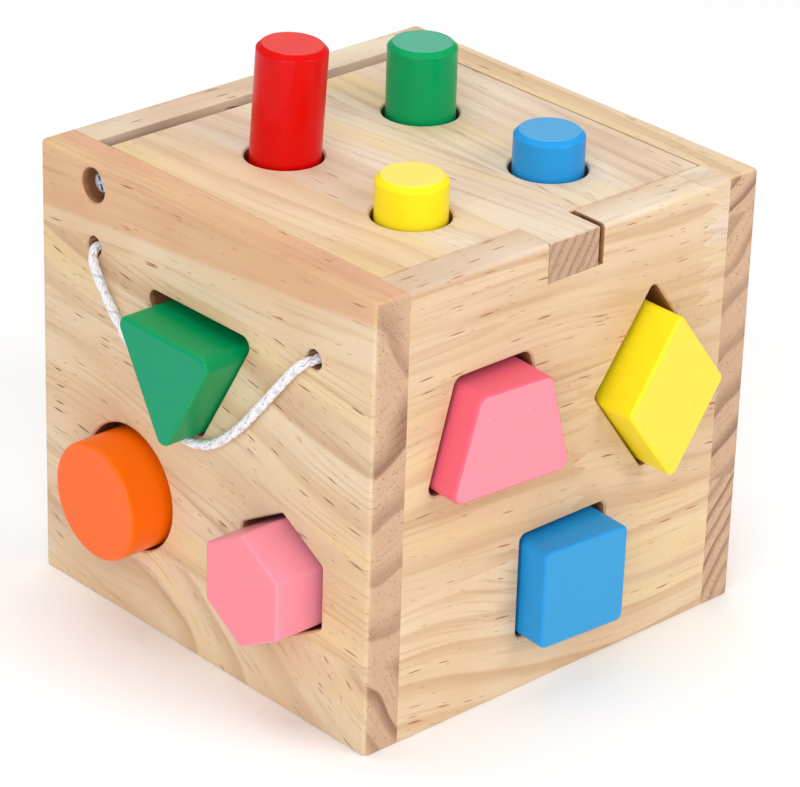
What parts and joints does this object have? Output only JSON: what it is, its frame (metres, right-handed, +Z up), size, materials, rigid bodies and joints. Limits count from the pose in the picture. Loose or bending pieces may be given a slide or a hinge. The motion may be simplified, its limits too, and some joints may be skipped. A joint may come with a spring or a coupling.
{
  "type": "shape sorter",
  "caption": "Wooden cube shape sorter with a hinged lid, shape-cut holes in its walls holding painted blocks, round pegs of stepped heights in the lid and a white carrying cord.",
  "frame": {"origin": "on the table under the middle of the box", "axes": "+Z up, -Y the front with the lid's tab, -X the side with the cord, +Y the hinge side"},
  "size_m": [0.1753, 0.1581, 0.1747],
  "materials": {
    "pine": "sanded, clear matt lacquer",
    "red_paint": "satin paint on wood",
    "green_paint": "satin paint on wood",
    "blue_paint": "satin paint on wood",
    "yellow_paint": "satin paint on wood",
    "pink_paint": "satin paint on wood",
    "orange_paint": "satin paint on wood",
    "screw_steel": "bright zinc plate",
    "cord_white": "braided, slightly shiny"
  },
  "bodies": {
    "box": {"back_panel_lower_stave": "pine", "back_panel_middle_stave": "pine", "back_panel_upper_stave": "pine", "bottom_front_stave": "pine", "bottom_rear_stave": "pine", "carry_cord": "cord_white", "cord_knot_front": "cord_white", "cord_knot_rear": "cord_white", "front_panel_lower_stave": "pine", "front_panel_middle_stave": "pine", "front_panel_upper_stave": "pine", "left_panel_lower_stave": "pine", "left_panel_middle_stave": "pine", "left_panel_upper_stave": "pine", "right_panel_lower_stave": "pine", "right_panel_middle_stave": "pine", "right_panel_upper_stave": "pine"},
    "lid": {"hinge_screw_left": "screw_steel", "hinge_screw_right": "screw_steel", "lid_centre_stave": "pine", "lid_left_stave": "pine", "lid_right_stave": "pine"},
    "red_peg": {"red_peg": "red_paint"},
    "green_peg": {"green_peg": "green_paint"},
    "blue_peg": {"blue_peg": "blue_paint"},
    "yellow_peg": {"yellow_peg": "yellow_paint"},
    "triangle_block": {"triangle_block": "green_paint"},
    "round_block": {"round_block": "orange_paint"},
    "hexagon_block": {"hexagon_block": "pink_paint"},
    "trapezoid_block": {"trapezoid_block": "pink_paint"},
    "rhombus_block": {"rhombus_block": "yellow_paint"},
    "square_block": {"square_block": "blue_paint"},
    "pentagon_block": {"pentagon_block": "red_paint"},
    "rectangle_block": {"rectangle_block": "orange_paint"},
    "half_round_block": {"half_round_block": "green_paint"}
  },
  "joints": [
    {"name": "lid_hinge", "type": "hinge", "parent": "box", "child": "lid", "pos_m": [0, 0.0484, 0.1334], "axis": [-1, 0, 0], "range_deg": [0, 110]},
    {"name": "red_peg_lift", "type": "slide", "parent": "lid", "child": "red_peg", "axis": [0.0349, -0.0314, 0.9989], "range_m": [0, 0.03]},
    {"name": "green_peg_lift", "type": "slide", "parent": "lid", "child": "green_peg", "axis": [0, 0, 1], "range_m": [0, 0.03]},
    {"name": "blue_peg_lift", "type": "slide", "parent": "lid", "child": "blue_peg", "axis": [0, 0, 1], "range_m": [0, 0.03]},
    {"name": "yellow_peg_lift", "type": "slide", "parent": "lid", "child": "yellow_peg", "axis": [0, 0, 1], "range_m": [0, 0.03]},
    {"name": "triangle_block_push", "type": "slide", "parent": "box", "child": "triangle_block", "axis": [-1, 0, -0.007], "range_m": [-0.028, 0.03]},
    {"name": "round_block_push", "type": "slide", "parent": "box", "child": "round_block", "axis": [-0.9998, 0.0175, -0.014], "range_m": [-0.0278, 0.03]},
    {"name": "hexagon_block_push", "type": "slide", "parent": "box", "child": "hexagon_block", "axis": [-0.9997, 0.0209, -0.0087], "range_m": [-0.029, 0.03]},
    {"name": "trapezoid_block_push", "type": "slide", "parent": "box", "child": "trapezoid_block", "axis": [-0.061, -0.9981, -0.0087], "range_m": [-0.0253, 0.03]},
    {"name": "rhombus_block_push", "type": "slide", "parent": "box", "child": "rhombus_block", "axis": [0.0157, -0.9997, -0.0175], "range_m": [-0.0267, 0.03]},
    {"name": "square_block_push", "type": "slide", "parent": "box", "child": "square_block", "axis": [-0.061, -0.9981, -0.0052], "range_m": [-0.0259, 0.03]},
    {"name": "pentagon_block_push", "type": "slide", "parent": "box", "child": "pentagon_block", "axis": [0.9996, -0.0262, -0.014], "range_m": [-0.0265, 0.03]},
    {"name": "rectangle_block_push", "type": "slide", "parent": "box", "child": "rectangle_block", "axis": [0.9997, 0.0209, -0.0105], "range_m": [-0.0275, 0.03]},
    {"name": "half_round_block_push", "type": "slide", "parent": "box", "child": "half_round_block", "axis": [0.9998, -0.0175, -0.0122], "range_m": [-0.026, 0.03]}
  ]
}
